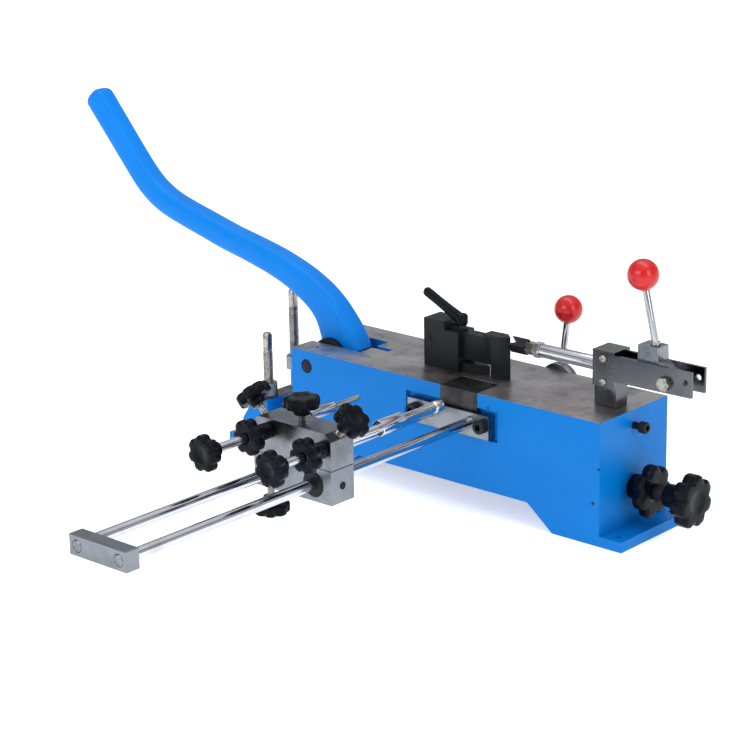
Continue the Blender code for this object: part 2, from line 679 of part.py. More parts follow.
def make_rear_lock():
    shaft = [(6.0, 0), (6.0, 11.8), (24.0, 11.8), (25.0, 12.8), (25.0, 22.0), (23.5, 23.4)]
    cam = mesh_object("lock_cam_shaft", turned_mesh(shaft, 32), chrome())
    start = LOCK_Y - 17.6
    aim(place(cam, LOCK_CENTRE[0], start, LOCK_CENTRE[1]), (0, 1, 0))
    direction, length = stem_frame(LOCK_CENTRE, LOCK_BALL)
    centre = Vector((LOCK_CENTRE[0], LOCK_Y, LOCK_CENTRE[1]))
    cut_bore(cam, tuple(centre + direction * 28), -direction, 4.3, 16, 16)
    rod = mesh_object("lock_lever_rod", turned_mesh(cylinder_profile(4.0, 12.5, length - 8, 0.6), 16), chrome())
    aim(place(rod, *centre), direction)
    ball = mesh_object("lock_lever_ball", ball_mesh(16.5, 4.4, 11.5), red_plastic())
    aim(place(ball, LOCK_BALL[0], LOCK_Y, LOCK_BALL[1]), direction)


# --- gauge -----------------------------------------------------------------------------------


def make_gauge_frame():
    bracket = mesh_object("gauge_bracket", box_mesh((-268.6, -6, -50.3), (-149.7, 5.6, -22.3)), ground_steel(), False)
    place(bracket, 0, 0, 0)
    end_low = (-246.7, GAUGE_END_Y, GAUGE_ROD_Z - 11)
    end_high = (-164.7, GAUGE_END_Y + BAR_THICKNESS, GAUGE_ROD_Z + 11)
    end_bar = mesh_object("gauge_end_bar", box_mesh(end_low, end_high), ground_steel(), smooth=False)
    place(end_bar, 0, 0, 0)
    for name, x in GAUGE_ROD_X.items():
        cut_bore(bracket, (x, -7, GAUGE_ROD_Z), (0, 1, 0), GAUGE_ROD_RADIUS + GAP, 14)
        cut_bore(end_bar, (x, GAUGE_END_Y - 1, GAUGE_ROD_Z), (0, 1, 0), GAUGE_ROD_RADIUS + GAP, BAR_THICKNESS + 2)
        profile = cylinder_profile(GAUGE_ROD_RADIUS, GAUGE_END_Y - 0.4, 5.2, 0.6)
        rod = mesh_object(f"gauge_rod_{name}", turned_mesh(profile, 24), chrome())
        aim(place(rod, x, 0, GAUGE_ROD_Z), (0, 1, 0))
    for name, x in (("left", -257.5), ("right", -157.8)):
        cut_bore(bracket, (x, -7, -34.5), (0, 1, 0), 4.3, 14, 16)
        screw = mesh_object(f"bracket_screw_{name}", cap_screw_mesh(4.0, 11.2, 8.0, 9, 4.2), black_oxide())
        aim(place(screw, x, -6.3, -34.5), (0, -1, 0))


def make_carriage():
    x0, x1 = CARRIAGE_X
    y0, y1 = CARRIAGE_Y
    z0, z1 = CARRIAGE_Z
    work = box_mesh((x0, y0, z0), (x1, y1, CARRIAGE_SPLIT - GAP))
    lower = mesh_object("carriage_lower", work, ground_steel(), smooth=False)
    place(lower, 0, 0, 0)
    split = CARRIAGE_SPLIT + GAP
    outline = [(x0, split), (x1, split), (x1, z1 - CHAMFER), (x1 - CHAMFER, z1), (x0 + CHAMFER, z1), (x0, z1 - CHAMFER)]
    upper = mesh_object("carriage_upper", prism_mesh(outline, y0, y1), ground_steel(), smooth=False)
    place(upper, 0, 0, 0)
    depth = y1 - y0 + 2
    for name, x in GAUGE_ROD_X.items():
        cut_bore(lower, (x, y0 - 1, GAUGE_ROD_Z), (0, 1, 0), BUSH_RADIUS + GAP, depth, 28)
        bore = GAUGE_ROD_RADIUS + GAP
        ring = [(bore, 0), (BUSH_RADIUS - 1, 0), (BUSH_RADIUS, 1), (BUSH_RADIUS, depth - 1), (BUSH_RADIUS - 1, depth), (bore, depth)]
        bush = mesh_object(f"rod_bush_{name}", turned_mesh(ring, 28, closed=True), bronze())
        aim(place(bush, x, y0 - 1, GAUGE_ROD_Z), (0, 1, 0))
    for x, z in STOP_RODS.values():
        cut_bore(upper, (x, y0 - 1, z), (0, 1, 0), STOP_ROD_RADIUS + GAP, depth, 20)
    cut_bore(upper, (CARRIAGE_MID_X, CARRIAGE_MID_Y, z1 + 1), (0, 0, -1), 4.3, 13, 16)
    cut_bore(lower, (-255.0, CARRIAGE_MID_Y, z0 - 1), (0, 0, 1), 4.3, 5, 16)
    for side, start in ((1, x1), (-1, x0)):
        seat = Vector((start - side * CHAMFER / 2, CARRIAGE_MID_Y, z1 - CHAMFER / 2))
        out = Vector((side, 0, 1)).normalized()
        cut_bore(upper, tuple(seat + out * 3), -out, 4.3, 11, 16)


CARRIAGE_MID_X = sum(CARRIAGE_X) / 2


def clamp_knob(name, seat, direction, standoff, bite):
    """A star knob on its own screw: the screw reaches from bite below the seat up to the hub."""
    work = knob_mesh(20, 9, 7, 13)
    knob = mesh_object(name, work, black_plastic())
    out = Vector(direction).normalized()
    hub = Vector(seat) + out * standoff
    aim(place(knob, *hub), out)
    screw = merge(knob, turned_mesh([(4.0, -standoff - bite), (4.0, 1)], 16), hub)
    aim(screw, out)


def make_clamp_knobs():
    top = CARRIAGE_Z[1]
    clamp_knob("clamp_knob_top", (CARRIAGE_MID_X, CARRIAGE_MID_Y, top), (0, 0, 1), 7.5, 11)
    for name, side, edge in (("right", 1, CARRIAGE_X[1]), ("left", -1, CARRIAGE_X[0])):
        seat = (edge - side * CHAMFER / 2, CARRIAGE_MID_Y, top - CHAMFER / 2)
        clamp_knob(f"clamp_knob_{name}", seat, (side, 0, 1), 13, 7)
    clamp_knob("carriage_lock_knob", (-255.0, CARRIAGE_MID_Y, CARRIAGE_Z[0]), (0, 0, -1), 17, 3.4)


def make_stop_rods():
    left_profile = [(STOP_ROD_RADIUS, -340), (STOP_ROD_RADIUS, -203), (6.6, -203), (6.6, -163), (3.3, -161), (3.3, -122), (2.6, -121)]
    right_profile = [
        (STOP_ROD_RADIUS, -323), (STOP_ROD_RADIUS, -178), (9.0, -178), (9.0, -141), (5.6, -139), (5.6, -88),
        (6.6, -87.5), (6.6, -76), (5.8, -75),
    ]
    knobs = {"left": (-352, -287), "right": (-335, -284)}
    profiles = {"left": left_profile, "right": right_profile}
    for name, (x, z) in STOP_RODS.items():
        rod = mesh_object(f"stop_rod_{name}", turned_mesh(profiles[name], 18), chrome())
        aim(place(rod, x, 0, z), (0, 1, 0))
        end_y, jam_y = knobs[name]
        end = mesh_object(f"stop_knob_{name}", knob_mesh(20, 9, 11.7, 13), black_plastic())
        aim(place(end, x, end_y + 11.7, z), (0, -1, 0))
        hub = jam_y - CARRIAGE_Y[0] + 0.4
        jam = mesh_object(f"jam_knob_{name}", knob_mesh(20, 9, -hub, 12, STOP_ROD_RADIUS + GAP), black_plastic())
        aim(place(jam, x, CARRIAGE_Y[0] - 0.4, z), (0, -1, 0))


# --- stop studs ------------------------------------------------------------------------------


def make_studs():
    for name, (y, top, nut_low) in STUDS.items():
        profile = cylinder_profile(STUD_RADIUS, -119, top, 1.6)
        stud = mesh_object(f"stop_stud_{name}", turned_mesh(profile, 20), chrome())
        place(stud, STUD_X, y, 0)
        hex_nut(f"stop_nut_{name}", 11.0, 17.0, STUD_RADIUS + GAP, (STUD_X, y, nut_low), (0, 0, 1))


def build():
    clear_scene()
    make_body()
    make_die_bed()
    make_lever()
    make_ram()
    make_spring()
    make_punch()
    make_die_block()
    make_die_bridge()
    make_clamp_lever()
    make_push_rod()
    make_guide_block()
    make_side_plates()
    make_toggle()
    make_spindle()
    make_end_screw()
    make_rear_lock()
    make_gauge_frame()
    make_carriage()
    make_clamp_knobs()
    make_stop_rods()
    make_studs()


build()
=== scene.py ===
"""Visual model of a manual bench bender: finishes and fine detail over its CAD frame.

Stations are millimetres from the table's front right top corner, as in the CAD source: x to the
right, y to the back, z up. One piece replaces each CAD node. A few small details ride with a node
and replace nothing.
"""

import json
import math

import bmesh
import bpy
from mathutils import Matrix, Vector


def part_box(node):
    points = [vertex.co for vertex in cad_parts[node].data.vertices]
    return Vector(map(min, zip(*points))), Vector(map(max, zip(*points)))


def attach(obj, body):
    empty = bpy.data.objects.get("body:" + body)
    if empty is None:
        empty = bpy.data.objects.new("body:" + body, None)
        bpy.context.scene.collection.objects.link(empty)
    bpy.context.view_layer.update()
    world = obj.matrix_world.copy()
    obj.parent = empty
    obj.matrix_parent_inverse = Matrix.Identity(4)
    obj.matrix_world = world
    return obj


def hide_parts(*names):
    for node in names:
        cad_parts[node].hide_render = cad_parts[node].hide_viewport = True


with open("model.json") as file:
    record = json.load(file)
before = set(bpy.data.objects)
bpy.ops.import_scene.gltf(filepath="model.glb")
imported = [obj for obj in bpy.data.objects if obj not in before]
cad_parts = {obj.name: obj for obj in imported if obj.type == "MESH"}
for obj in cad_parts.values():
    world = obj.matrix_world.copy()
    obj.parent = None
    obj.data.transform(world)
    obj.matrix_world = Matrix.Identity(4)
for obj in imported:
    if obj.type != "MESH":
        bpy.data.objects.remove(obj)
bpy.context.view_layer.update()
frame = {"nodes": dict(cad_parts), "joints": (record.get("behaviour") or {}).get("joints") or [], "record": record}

MM = 0.001
RECORD = frame["record"]
BODY_OF = {node: body for body, nodes in RECORD["behaviour"]["bodies"].items() for node in nodes}
JOINTS = {joint["name"]: joint for joint in frame["joints"]}
# The table's front right top corner: the body's right end is 30 mm short of its foot's.
BODY_LOW, BODY_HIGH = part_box("body_casting")
CORNER = Vector((BODY_HIGH.x - 30 * MM, BODY_LOW.y, BODY_HIGH.z))

X, Y, Z = range(3)
TO_RIGHT, TO_BACK, TO_FRONT = (1, 0, 0), (0, 1, 0), (0, -1, 0)
UPWARD, DOWNWARD = (0, 0, 1), (0, 0, -1)

MID_Y = 62.5
RISER_Z = -75.5
V_HEAD_X = -146.8
CARRIAGE_Y = -247

# The hand lever. Its stations are (x, z, depth, width), from the hub to the grip.
PIVOT_X, PIVOT_Z = -433.0, -19.0
NOSE_X, NOSE_Z = PIVOT_X + 6, PIVOT_Z - 34
HUB_RADIUS, NOSE_RADIUS = 24, 10
WASHER = 7.7
GRIP_ROUNDING = 11.4
LEVER_STATIONS = (
    (-421, -15, 60, 33), (-427, 0, 59, 33), (-435, 16, 51, 33), (-447, 33.5, 43, 33),
    (-463, 48, 38.5, 33), (-487, 62, 36, 33), (-512, 72.5, 34, 33), (-540, 81.5, 33, 33),
    (-577, 90.5, 32, 33), (-614, 98.5, 31.5, 33), (-652, 108.5, 31, 33), (-690, 118.5, 30.5, 33),
    (-718, 127, 30.5, 33), (-741, 138, 30.5, 33), (-761, 153, 29.5, 33), (-785, 178.5, 28.5, 33),
    (-814, 211.5, 29, 33), (-845, 247, 30, 33),
)

# The ram's return spring: mean coil radius, wire radius and turns.
SPRING_Z = -54
SPRING_RADIUS, SPRING_WIRE, SPRING_TURNS = 18.9, 1.5, 7
SPRING_STEPS = 40 * SPRING_TURNS

# Radii of the ball knobs, their stems, the gauge rods and the two sizes of star knob.
TOGGLE_BALL, LOCK_BALL, BALL_STEM = 17.5, 16.5, 4.0
GAUGE_ROD = 6.3
GAUGE_STAR, END_STAR = 20, 30
LOBES = 7

# The small clamp lever's arm: (reach, rise, width, depth), from its hub outwards.
CLAMP_ARM = (
    (2, 57.5, 10, 11), (-6, 61.5, 9.6, 11.6), (-18, 67.2, 8.6, 10.6), (-34, 75, 8.2, 9.8),
    (-48, 81.8, 8.6, 10), (-52.5, 84, 8.2, 9.4), (-54.2, 84.9, 6.4, 7.2),
)

# Turned profiles as (radius, height) pairs. The stop rods' heights are stations along y.
CLAMP_HUB = (
    (5.4, 51.9), (6.2, 52.2), (7.2, 53.8), (7.5, 56), (7.5, 62), (7.0, 64), (5.6, 65.4),
    (3.0, 66.1), (0.6, 66.3),
)
LOCK_DISC = (
    (6, 0.2), (6, 11.8), (23.2, 11.8), (24.4, 12.2), (25, 13.2), (25, 21.6), (24.4, 22.8),
    (23, 23.4), (9, 23.4), (8.4, 22.9), (2, 22.9),
)
ROD_BUSH = ((6.5, -18.3), (12.8, -18.3), (14, -17.3), (14, 17.3), (12.8, 18.3), (6.5, 18.3))
LEFT_STOP = (
    (5, -340), (5, -203), (6, -203), (6.6, -202.4), (6.6, -164), (5.6, -162.4), (3.5, -161.2),
    (3.3, -160.5), (3.3, -122.6), (2.7, -121.4), (0.6, -121),
)
RIGHT_STOP = (
    (5, -323), (5, -178), (8.3, -178), (9, -177.3), (9, -142.4), (8, -140.6), (5.9, -139.4),
    (5.6, -138.4), (5.6, -88.3), (6.2, -88), (6.6, -87.3), (6.6, -76.6), (6.1, -75.6), (5.2, -75),
)

# The camera solved from the photo: its station and its right, up and backward directions.
CAMERA_STATION = (1434.06, -1957.94, 821.31)
CAMERA_RIGHT = (0.747806, 0.663677, -0.017850)
CAMERA_UP = (-0.186937, 0.236280, 0.953534)
CAMERA_BACK = (0.637056, -0.709722, 0.300757)

# The surroundings from straight down (0) to straight up (1) as (place, grey): they give the
# bright metal something to mirror.
SURROUNDINGS = (
    (0.0, 0.6), (0.47, 0.6), (0.49, 1.3), (0.525, 1.3), (0.56, 0.25), (0.62, 0.80), (0.68, 0.80),
    (0.73, 0.12), (0.84, 0.95), (1.0, 1.3),
)
# Area lights, all aimed at one spot: name, place, size and power.
AIM = (0, 0, 0.1)
LIGHTS = (
    ("key", (0.0, -2.4, 1.5), (1.9, 1.2), 24),
    ("side", (2.6, -0.2, 1.2), (0.9, 1.6), 16),
    ("top", (0.1, 0.5, 2.2), (2.6, 0.9), 14),
)


# --- materials -------------------------------------------------------------------------------


class Finish:
    """A Principled material and a few node helpers to detail it."""

    def __init__(self, name, colour, roughness, metallic=0.0):
        self.material = bpy.data.materials.new(name)
        self.material.use_nodes = True
        self.tree = self.material.node_tree
        self.shader = self.tree.nodes["Principled BSDF"]
        self.shader.inputs["Base Color"].default_value = (*colour, 1)
        self.shader.inputs["Roughness"].default_value = roughness
        self.shader.inputs["Metallic"].default_value = metallic
        self.colour = (*colour, 1)
        self.coordinates = self.tree.nodes.new("ShaderNodeTexCoord").outputs["Object"]
        self.height = None

    def node(self, kind, **values):
        made = self.tree.nodes.new(kind)
        for key, value in values.items():
            setattr(made, key, value)
        return made

    def link(self, source, target):
        self.tree.links.new(source, target)

    def scaled(self, stretch):
        mapping = self.node("ShaderNodeMapping")
        mapping.inputs["Scale"].default_value = stretch
        self.link(self.coordinates, mapping.inputs["Vector"])
        return mapping.outputs["Vector"]

    def noise(self, scale, detail=4.0, roughness=0.6, stretch=(1, 1, 1)):
        made = self.node("ShaderNodeTexNoise")
        made.inputs["Scale"].default_value = scale
        made.inputs["Detail"].default_value = detail
        made.inputs["Roughness"].default_value = roughness
        self.link(self.scaled(stretch), made.inputs["Vector"])
        return made.outputs["Fac"]

    def spread(self, factor, low, high, to_low=0.0, to_high=1.0):
        """Maps a stretch of a factor onto another, without going past its ends."""
        made = self.node("ShaderNodeMapRange")
        limits = {"From Min": low, "From Max": high, "To Min": to_low, "To Max": to_high}
        for key, value in limits.items():
            made.inputs[key].default_value = value
        self.link(factor, made.inputs["Value"])
        return made.outputs["Result"]

    def tint(self, factor, colour):
        """Blends the base colour towards another by a factor from 0 to 1."""
        mix = self.node("ShaderNodeMix", data_type="RGBA")
        target = self.shader.inputs["Base Color"]
        if target.is_linked:
            self.link(target.links[0].from_socket, mix.inputs[6])
        else:
            mix.inputs[6].default_value = self.colour
        mix.inputs[7].default_value = (*colour, 1)
        self.link(factor, mix.inputs[0])
        self.link(mix.outputs[2], target)

    def rough(self, factor, low, high):
        self.link(self.spread(factor, 0.3, 0.7, low, high), self.shader.inputs["Roughness"])

    def bump(self, factor, depth, strength=1.0):
        made = self.node("ShaderNodeBump")
        made.inputs["Distance"].default_value = depth
        made.inputs["Strength"].default_value = strength
        self.link(factor, made.inputs["Height"])
        if self.height:
            self.link(self.height, made.inputs["Normal"])
        self.height = made.outputs["Normal"]
        self.link(self.height, self.shader.inputs["Normal"])


def cast_paint(name, colour, deep, roughness, chips=0.0):
    """Brushed-on enamel over a casting: orange peel, a little sag, dust and a few chips."""
    finish = Finish(name, colour, roughness)
    finish.shader.inputs["Specular IOR Level"].default_value = 0.13
    finish.tint(finish.spread(finish.noise(6, 3), 0.35, 0.75, 0, 0.8), deep)
    finish.tint(finish.spread(finish.noise(520, 2), 0.69, 0.73, 0, 0.4), (0.06, 0.32, 0.66))
    finish.tint(finish.spread(finish.noise(70, 1), 0.775, 0.785, 0, chips), (0.012, 0.03, 0.06))
    finish.rough(finish.noise(26, 5), roughness - 0.07, roughness + 0.12)
    finish.bump(finish.noise(420, 2), 0.00012, 0.35)
    finish.bump(finish.noise(30, 3), 0.0007, 0.22)
    return finish.material


def table_steel():
    """A ground table gone dark with oil, brightened where work slides over it."""
    finish = Finish("table_steel", (0.17, 0.167, 0.17), 0.34, 1.0)
    finish.tint(finish.spread(finish.noise(9, 5), 0.33, 0.55), (0.44, 0.435, 0.44))
    finish.tint(finish.spread(finish.noise(48, 6), 0.54, 0.72, 0, 0.6), (0.10, 0.085, 0.07))
    finish.tint(finish.spread(finish.noise(240, 3), 0.69, 0.74, 0, 0.7), (0.05, 0.04, 0.035))
    finish.rough(finish.noise(24, 5), 0.28, 0.48)
    finish.bump(finish.noise(45, 3, stretch=(1, 30, 1)), 0.00006, 0.35)
    return finish.material


def ground_steel(name, colour, grain, dark, roughness=0.24):
    """Milled and ground steel: fine grain one way, cloudy oil smears, darker nicks."""
    finish = Finish(name, colour, roughness, 1.0)
    finish.tint(finish.spread(finish.noise(22, 4), 0.42, 0.70, 0, 0.6), dark)
    finish.tint(finish.spread(finish.noise(190, 4), 0.66, 0.76, 0, 0.45), (0.09, 0.08, 0.07))
    finish.rough(finish.noise(40, 6), roughness - 0.06, roughness + 0.16)
    finish.bump(finish.noise(60, 3, stretch=grain), 0.00005, 0.4)
    finish.bump(finish.noise(130, 4), 0.00014, 0.25)
    return finish.material


def bright_rod(name, colour, stretch):
    """Polished bar with faint rings and a thin film of oil."""
    finish = Finish(name, colour, 0.12, 1.0)
    finish.tint(finish.spread(finish.noise(30, 5), 0.5, 0.75, 0, 0.5), (0.28, 0.27, 0.26))
    finish.rough(finish.noise(90, 5), 0.07, 0.2)
    finish.bump(finish.noise(40, 3, stretch=stretch), 0.00003, 0.3)
    return finish.material


def zinc_screw():
    """Zinc-plated threads, brown with use between their crests."""
    finish = Finish("zinc_screw", (0.44, 0.43, 0.40), 0.3, 1.0)
    finish.tint(finish.spread(finish.noise(160, 5), 0.48, 0.64, 0, 0.65), (0.17, 0.14, 0.105))
    finish.rough(finish.noise(120, 4), 0.22, 0.5)
    finish.bump(finish.noise(600, 3), 0.00008, 0.3)
    return finish.material


def black_oxide():
    """Oil-blackened tool steel, polished a little by handling."""
    finish = Finish("black_oxide_finish", (0.0055, 0.0065, 0.0095), 0.4)
    finish.shader.inputs["Specular IOR Level"].default_value = 0.2
    finish.tint(finish.spread(finish.noise(30, 4), 0.42, 0.72, 0, 0.8), (0.0125, 0.014, 0.019))
    finish.rough(finish.noise(60, 4), 0.34, 0.52)
    finish.bump(finish.noise(500, 3), 0.00008, 0.35)
    return finish.material


def dark_bed():
    """The die bed's darker insert, stained and rubbed."""
    finish = Finish("bed_steel", (0.042, 0.041, 0.043), 0.36, 1.0)
    finish.tint(finish.spread(finish.noise(30, 5), 0.45, 0.68), (0.10, 0.095, 0.09))
    finish.rough(finish.noise(40, 5), 0.28, 0.5)
    finish.bump(finish.noise(60, 3, stretch=(26, 1, 1)), 0.00005, 0.4)
    return finish.material


def black_plastic():
    """Moulded phenolic: glossy with a fine ripple."""
    finish = Finish("black_phenolic", (0.0025, 0.0035, 0.0065), 0.3)
    finish.shader.inputs["Specular IOR Level"].default_value = 0.1
    finish.tint(finish.spread(finish.noise(110, 4), 0.5, 0.75, 0, 0.6), (0.006, 0.008, 0.012))
    finish.rough(finish.noise(60, 4), 0.2, 0.38)
    finish.bump(finish.noise(70, 3), 0.0003, 0.2)
    finish.bump(finish.noise(900, 2), 0.00005, 0.25)
    return finish.material


def red_ball():
    """Polished red phenolic ball."""
    finish = Finish("red_phenolic", (0.56, 0.004, 0.007), 0.22)
    finish.tint(finish.spread(finish.noise(40, 4), 0.45, 0.75, 0, 0.7), (0.38, 0.003, 0.006))
    finish.rough(finish.noise(50, 4), 0.16, 0.32)
    finish.bump(finish.noise(160, 3), 0.0001, 0.2)
    finish.shader.inputs["Specular IOR Level"].default_value = 0.4
    finish.shader.inputs["Coat Weight"].default_value = 0.15
    finish.shader.inputs["Coat Roughness"].default_value = 0.08
    return finish.material


PAINT = cast_paint("body_enamel", (0.0, 0.185, 0.60), (0.0, 0.155, 0.51), 0.36, 1.0)
LEVER_PAINT = cast_paint("lever_enamel", (0.0, 0.215, 0.74), (0.0, 0.18, 0.64), 0.36)
TABLE = table_steel()
STEEL = ground_steel("milled_steel", (0.24, 0.262, 0.29), (1, 1, 26), (0.09, 0.095, 0.105))
PLATE = ground_steel("smoked_steel", (0.125, 0.13, 0.145), (26, 1, 1), (0.07, 0.066, 0.066), 0.16)
RISER = ground_steel("oiled_steel", (0.10, 0.10, 0.105), (1, 26, 1), (0.05, 0.045, 0.04), 0.3)
ROD = bright_rod("bright_bar", (0.62, 0.645, 0.69), (1, 40, 1))
STEM = bright_rod("bright_stem", (0.44, 0.46, 0.50), (1, 1, 40))
ZINC = zinc_screw()
OXIDE = black_oxide()
BED = dark_bed()
PLASTIC = black_plastic()
RED = red_ball()
BROWN = bright_rod("brown_steel", (0.27, 0.245, 0.21), (1, 1, 1))


# --- mesh tools ------------------------------------------------------------------------------


def station(x, y, z):
    """A station in millimetres, as a point of the shared frame."""
    return CORNER + Vector((x, y, z)) * MM


def middle(node):
    """The centre of a CAD node's box, as a station in millimetres."""
    low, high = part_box(node)
    return ((Vector(low) + Vector(high)) / 2 - CORNER) / MM


def span(node, axis):
    """Where a CAD node's box begins and ends along an axis, in millimetres."""
    low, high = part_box(node)
    return (low[axis] - CORNER[axis]) / MM, (high[axis] - CORNER[axis]) / MM


def pivot_of(joint):
    """A joint's position, as a station in millimetres."""
    return (Vector(JOINTS[joint]["pos_m"]) - CORNER) / MM


def adopt(piece, *nodes, finish):
    """The piece takes the place of these CAD nodes, on their body, in the given finish."""
    piece.data.materials.clear()
    piece.data.materials.append(finish)
    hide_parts(*nodes)
    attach(piece, BODY_OF[nodes[0]])
    return piece


def add_detail(piece, node, finish):
    """A detail with no CAD node of its own rides with the node it sits on."""
    piece.data.materials.clear()
    piece.data.materials.append(finish)
    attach(piece, BODY_OF[node])


def piece_from(name, work, origin=(0, 0, 0), direction=None, angle=35):
    """An object from a bmesh in millimetres about a station; direction turns its z axis."""
    bmesh.ops.recalc_face_normals(work, faces=work.faces)
    turn = Vector(direction).to_track_quat("Z", "Y").to_matrix().to_4x4() if direction else Matrix()
    work.transform(Matrix.Translation(station(*origin)) @ turn @ Matrix.Scale(MM, 4))
    mesh = bpy.data.meshes.new(name)
    work.to_mesh(mesh)
    work.free()
    mesh.shade_smooth()
    mesh.set_sharp_from_angle(angle=math.radians(angle))
    piece = bpy.data.objects.new(name, mesh)
    bpy.context.collection.objects.link(piece)
    return piece


def join_rings(work, rings, closed=False):
    """Skins a row of vertex rings, capped at both ends unless it closes on itself."""
    count = len(rings[0])
    pairs = list(zip(rings, rings[1:]))
    if closed:
        pairs.append((rings[-1], rings[0]))
    for first, second in pairs:
        for i in range(count):
            j = (i + 1) % count
            work.faces.new((first[i], first[j], second[j], second[i]))
    if not closed:
        work.faces.new(rings[0])
        work.faces.new(rings[-1])


def turned(profile, segments=64, closed=False, shape=None):
    """Turns (radius, height) pairs about z; shape(radius, angle, height) reshapes each ring."""
    work = bmesh.new()
    rings = []
    for radius, height in profile:
        ring = []
        for step in range(segments):
            angle = 2 * math.pi * step / segments
            out = shape(radius, angle, height) if shape else radius
            ring.append(work.verts.new((out * math.cos(angle), out * math.sin(angle), height)))
        rings.append(ring)
    join_rings(work, rings, closed)
    return work


def rounded_ends(radius, low, high, edge):
    """The profile of a bar with both ends rounded over."""
    turns = [math.pi / 2 * i / 3 for i in range(4)]
    start = [(radius - edge + edge * math.sin(a), low + edge - edge * math.cos(a)) for a in turns]
    end = [(radius - edge + edge * math.cos(a), high - edge + edge * math.sin(a)) for a in turns]
    return start + end


def thread(radius, low, high, pitch=1.5, depth=0.75):
    """Profile of a threaded stretch, drawn as close rings."""
    points = []
    height = low
    while height + pitch <= high:
        points += [(radius - depth, height), (radius - depth, height + 0.15 * pitch)]
        points += [(radius, height + 0.5 * pitch), (radius, height + 0.65 * pitch)]
        height += pitch
    points.append((radius - depth, high))
    return points


def carve(piece, tool):
    """Cuts a tool out of a piece for good and removes the tool."""
    modifier = piece.modifiers.new("carve", "BOOLEAN")
    modifier.operation = "DIFFERENCE"
    modifier.solver = "EXACT"
    modifier.object = tool
    bpy.context.view_layer.update()
    graph = bpy.context.evaluated_depsgraph_get()
    cut = bpy.data.meshes.new_from_object(piece.evaluated_get(graph))
    piece.modifiers.clear()
    piece.data = cut
    bpy.data.objects.remove(tool, do_unlink=True)


def bevel(piece, width, segments=2, angle=32):
    """Rounds the edges that turn by more than an angle, by a width in millimetres."""
    modifier = piece.modifiers.new("edge", "BEVEL")
    modifier.width = width * MM
    modifier.segments = segments
    modifier.limit_method = "ANGLE"
    modifier.angle_limit = math.radians(angle)
    modifier.harden_normals = True
    modifier.miter_outer = "MITER_ARC"
    return piece


def refined(node, finish, width=0.5, segments=2):
    """A CAD solid rebuilt with clean faces and rounded edges."""
    work = bmesh.new()
    work.from_mesh(frame["nodes"][node].data)
    bmesh.ops.remove_doubles(work, verts=work.verts, dist=2e-6)
    bmesh.ops.dissolve_limit(
        work,
        angle_limit=math.radians(0.6),
        use_dissolve_boundaries=False,
        verts=work.verts,
        edges=work.edges,
    )
    mesh = bpy.data.meshes.new(node)
    work.to_mesh(mesh)
    work.free()
    mesh.shade_smooth()
    mesh.set_sharp_from_angle(angle=math.radians(35))
    piece = bpy.data.objects.new(f"{node}_shown", mesh)
    bpy.context.collection.objects.link(piece)
    bevel(piece, width, segments)
    return adopt(piece, node, finish=finish)


def hexagon(radius, height):
    """A hexagonal bar; the radius reaches its corners."""
    return turned([(radius, 0), (radius, height)], 6)


# --- body ------------------------------------------------------------------------------------


def make_body():
    """The painted casting, with its table and bed recess ground and its riser top oiled."""
    body = refined("body_casting", PAINT, 0.9, 3)
    body.data.materials.append(TABLE)
    body.data.materials.append(RISER)
    ground, oiled = 1, 2
    riser_height = station(0, 0, RISER_Z).z
    bed_low, bed_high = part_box("die_bed_insert")
    for face in body.data.polygons:
        spot = face.center
        faces_up = face.normal.z > 0.9
        near_bed = all(bed_low[i] - MM < spot[i] < bed_high[i] + MM for i in range(3))
        if near_bed or (faces_up and spot.z > BODY_HIGH.z - 0.2 * MM):
            face.material_index = ground
        elif faces_up and abs(spot.z - riser_height) < 0.5 * MM:
            face.material_index = oiled
    refined("die_bed_insert", BED, 0.35)


def superellipse(depth, width, points, power):
    """Points round an oblong with soft corners; a higher power makes it squarer."""
    ring = []
    for step in range(points):
        angle = 2 * math.pi * (step + 0.5) / points
        c, s = math.cos(angle), math.sin(angle)
        reach = (abs(c) ** power + abs(s) ** power) ** (-1 / power)
        ring.append((reach * c * depth / 2, reach * s * width / 2))
    return ring


def smooth_path(points, per_span):
    """A smooth curve through rows of numbers, so many steps to each span."""
    padded = [[2 * a - b for a, b in zip(points[0], points[1])], *points]
    padded.append([2 * a - b for a, b in zip(points[-1], points[-2])])
    path = []
    for before, first, second, after in zip(padded, padded[1:], padded[2:], padded[3:]):
        for step in range(per_span):
            t = step / per_span
            path.append([
                0.5 * (
                    2 * q + (r - p) * t + (2 * p - 5 * q + 4 * r - s) * t * t
                    + (3 * q - p - 3 * r + s) * t ** 3
                )
                for p, q, r, s in zip(before, first, second, after)
            ])
    path.append(list(points[-1]))
    return path


